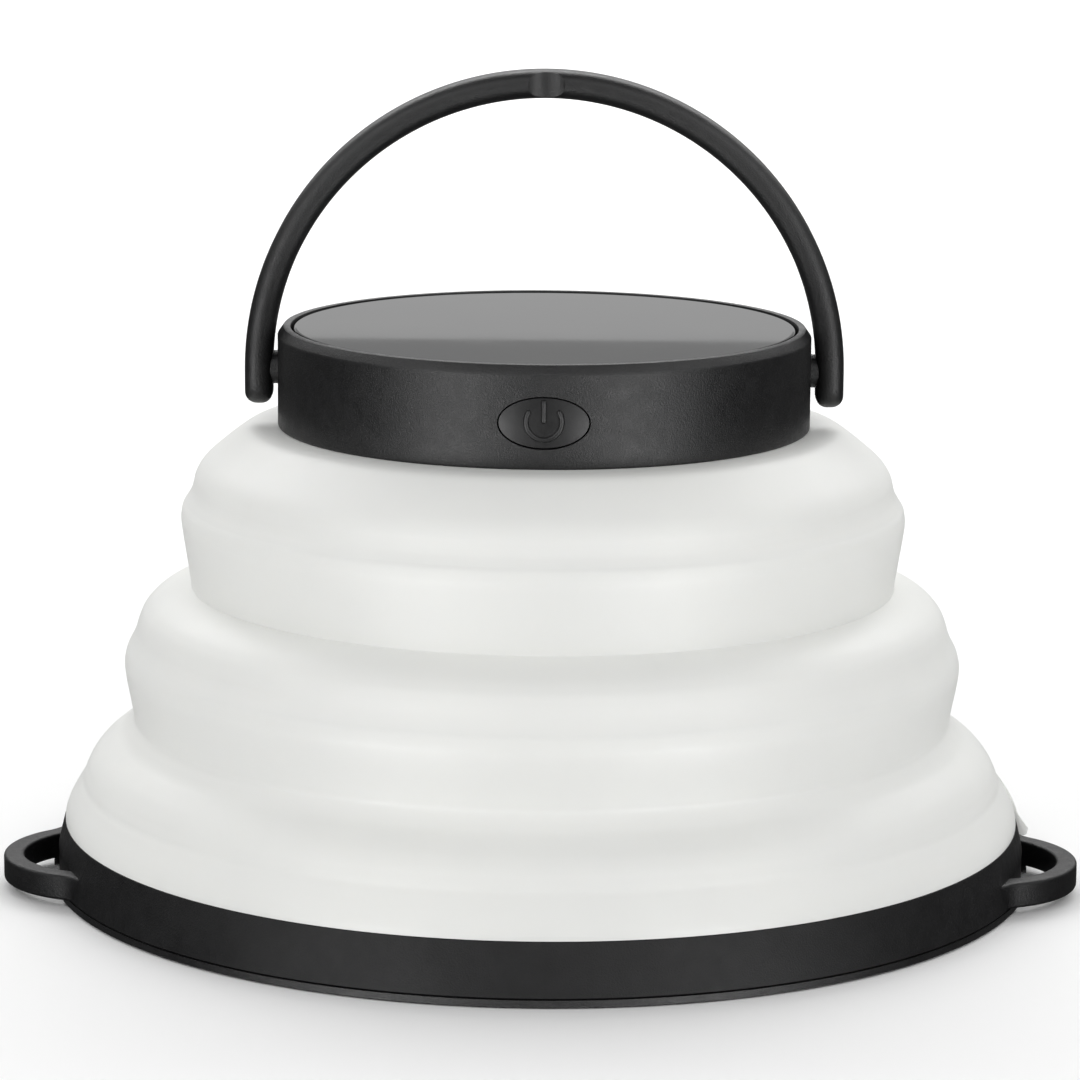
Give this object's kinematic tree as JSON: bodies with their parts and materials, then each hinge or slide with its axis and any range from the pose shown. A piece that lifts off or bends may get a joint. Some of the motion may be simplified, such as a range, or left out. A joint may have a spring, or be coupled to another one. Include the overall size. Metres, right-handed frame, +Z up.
{
  "type": "collapsible camping lantern",
  "caption": "Collapsible camping lantern: stepped translucent silicone bellows between a solar-topped cap with folding bail handle and a wide base ring with lashing lugs.",
  "frame": {"origin": "centre of the underside, on the surface the lantern stands on", "axes": "+Z up, the power button faces -Y, the handle pivots and the lashing lugs are at +X and -X"},
  "size_m": [0.1676, 0.1542, 0.1266],
  "materials": {
    "black_plastic": "fine spark-eroded texture, satin",
    "black_rubber": "smooth matte",
    "silicone": "translucent, satin",
    "panel_cover": "gloss",
    "solar_cell": "satin",
    "gasket_rubber": "matte",
    "white_plastic": "satin",
    "frosted_plastic": "frosted",
    "steel": "zinc plated",
    "nickel": "plated",
    "white_board": "solder mask",
    "green_board": "solder mask",
    "led_package": "satin",
    "chip_black": "matte",
    "battery_foil": "crinkled foil",
    "foam": "open cell",
    "wire_red": "satin"
  },
  "bodies": {
    "base": {"base_ring": "black_plastic", "base_plate": "black_plastic", "rubber_feet": "black_rubber", "base_screws": "steel", "lower_clamp_ring": "white_plastic", "lower_clamp_screws": "steel", "bellows_lower_tier": "silicone", "bellows_lower_fold": "silicone"},
    "middle_tier": {"bellows_middle_tier": "silicone", "bellows_middle_fold": "silicone"},
    "top_tier": {"bellows_top_tier": "silicone", "bellows_upper_fold": "silicone"},
    "cap": {"bellows_neck": "silicone", "neck_clamp_ring": "white_plastic", "cap_screws": "steel", "cap_base": "white_plastic", "cap_housing": "black_plastic", "led_board": "white_board", "leds": "led_package", "led_board_screws": "steel", "led_diffuser": "frosted_plastic", "led_leads": "wire_red", "battery": "battery_foil", "battery_pad": "foam", "battery_leads": "wire_red", "battery_plug": "white_plastic", "main_board": "green_board", "board_components": "chip_black", "main_board_screws": "steel", "switch_board": "green_board", "tact_switch": "chip_black", "usb_connector": "nickel", "panel_gasket": "gasket_rubber", "cell_board": "solar_cell", "panel_lens": "panel_cover", "panel_leads": "wire_red"},
    "handle": {"handle": "black_plastic"},
    "button": {"power_button": "black_rubber"},
    "flap": {"usb_flap": "black_rubber"}
  },
  "joints": [
    {"name": "lower_fold", "type": "slide", "parent": "base", "child": "middle_tier", "axis": [0, 0, 1], "range_m": [-0.017, 0], "deforming": ["bellows_lower_fold"]},
    {"name": "middle_fold", "type": "slide", "parent": "middle_tier", "child": "top_tier", "axis": [0, 0, 1], "range_m": [-0.015, 0], "deforming": ["bellows_middle_fold"]},
    {"name": "upper_fold", "type": "slide", "parent": "top_tier", "child": "cap", "axis": [0, 0, 1], "range_m": [-0.016, 0], "deforming": ["bellows_upper_fold"]},
    {"name": "handle_hinge", "type": "hinge", "parent": "cap", "child": "handle", "pos_m": [0, 0, 0.08005], "axis": [1, 0, 0], "range_deg": [-90, 90]},
    {"name": "button_press", "type": "slide", "parent": "cap", "child": "button", "axis": [0, 1, 0], "range_m": [0, 0.0008], "stiffness_N_per_m": 1200},
    {"name": "flap_hinge", "type": "hinge", "parent": "cap", "child": "flap", "pos_m": [0, 0.041, 0.0732], "axis": [-1, 0, 0], "range_deg": [0, 95]}
  ],
  "couplings": [
    {"joint": "middle_fold", "follows": "lower_fold", "ratio": 0.88},
    {"joint": "upper_fold", "follows": "lower_fold", "ratio": 0.94}
  ]
}
